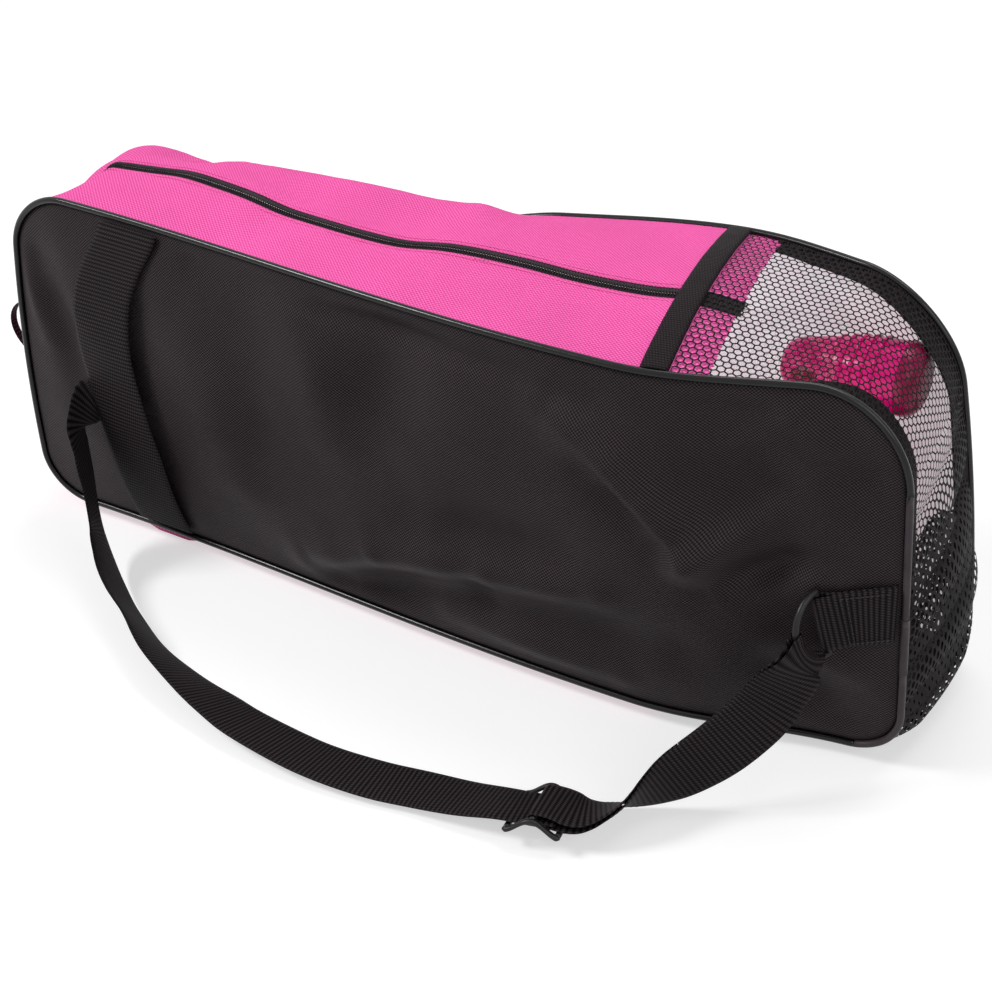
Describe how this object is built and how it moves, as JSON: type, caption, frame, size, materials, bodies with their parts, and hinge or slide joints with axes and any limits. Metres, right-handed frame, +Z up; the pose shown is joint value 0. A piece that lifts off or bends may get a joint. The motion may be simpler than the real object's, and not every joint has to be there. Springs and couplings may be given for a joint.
{
  "type": "roundnet set in a carry bag",
  "caption": "Take-apart roundnet set packed in a long soft carry bag with a pink gusset, black panels, a net end and a shoulder strap.",
  "frame": {"origin": "middle of the bag's length and depth on the ground, on the flat underside of the bag", "axes": "+X along the bag towards its net end, +Y to the back (away from the shoulder strap), +Z up"},
  "size_m": [0.704, 0.3254, 0.2819],
  "materials": {
    "black_cloth": "matt twill weave",
    "pink_cloth": "matt twill weave",
    "black_piping": "smooth, slightly shiny",
    "grey_piping": "smooth, slightly shiny",
    "black_net": "open knitted net",
    "black_tape": "fine herringbone weave",
    "black_coil": "fine coil",
    "black_metal": "black enamel",
    "black_webbing": "ribbed webbing",
    "black_hardware": "moulded nylon",
    "magenta_plastic": "moulded, shiny",
    "maroon_plastic": "moulded, shiny",
    "yellow_rubber": "soft matt rubber",
    "white_net": "folded knotless net",
    "clear_film": "clear wrinkled film"
  },
  "bodies": {
    "bag": {"front_panel": "black_cloth", "back_panel": "black_cloth", "front_piping": "black_piping", "back_piping": "black_piping", "piping_joint_sleeve": "grey_piping", "gusset_front_strip": "pink_cloth", "gusset_back_strip": "pink_cloth", "gusset_bottom": "pink_cloth", "mesh_end": "black_net", "mesh_binding_top": "black_cloth", "mesh_binding_bottom": "black_cloth", "seam_tape_front": "black_cloth", "seam_tape_back": "black_cloth", "zip_tape_front": "black_tape", "zip_tape_back": "black_tape", "zip_coil_front": "black_coil", "zip_coil_back": "black_coil", "zip_end_stop": "black_coil", "end_loop": "black_webbing", "front_band": "black_webbing", "shoulder_strap": "black_webbing", "strap_return": "black_webbing", "ring_tab": "black_webbing", "rim_segment_1": "magenta_plastic", "rim_segment_2": "magenta_plastic", "rim_segment_3": "magenta_plastic", "rim_segment_4": "magenta_plastic", "rim_segment_5": "magenta_plastic", "leg_1": "magenta_plastic", "leg_2": "magenta_plastic", "leg_3": "magenta_plastic", "leg_4": "magenta_plastic", "leg_5": "magenta_plastic", "leg_foot_1": "maroon_plastic", "leg_foot_2": "maroon_plastic", "leg_foot_3": "maroon_plastic", "leg_foot_4": "maroon_plastic", "leg_foot_5": "maroon_plastic", "ball_1": "yellow_rubber", "ball_2": "yellow_rubber", "ball_3": "yellow_rubber", "folded_net": "white_net", "leg_polybag": "clear_film"},
    "slider": {"zip_slider": "black_metal"},
    "puller": {"zip_puller": "black_metal"},
    "ring": {"strap_ring": "black_hardware"},
    "adjuster": {"strap_triglide": "black_hardware"}
  },
  "joints": [
    {"name": "zip_slide", "type": "slide", "parent": "bag", "child": "slider", "axis": [0.2168, -0.0005, 0.9762], "range_m": [0, 0.022]},
    {"name": "puller_swing", "type": "hinge", "parent": "slider", "child": "puller", "pos_m": [-0.32868, -0.01561, 0.1915], "axis": [0, 1, 0], "range_deg": [0, 150]},
    {"name": "ring_swing", "type": "hinge", "parent": "bag", "child": "ring", "pos_m": [0.293, -0.08369, 0.117], "axis": [-0.225, 0, 0.9744], "range_deg": [-20, 20], "deforming": ["shoulder_strap", "strap_return"]},
    {"name": "adjuster_slide", "type": "slide", "parent": "bag", "child": "adjuster", "axis": [0.9781, 0.2079, 0], "range_m": [-0.006, 0.008], "deforming": ["shoulder_strap", "strap_return"]}
  ]
}
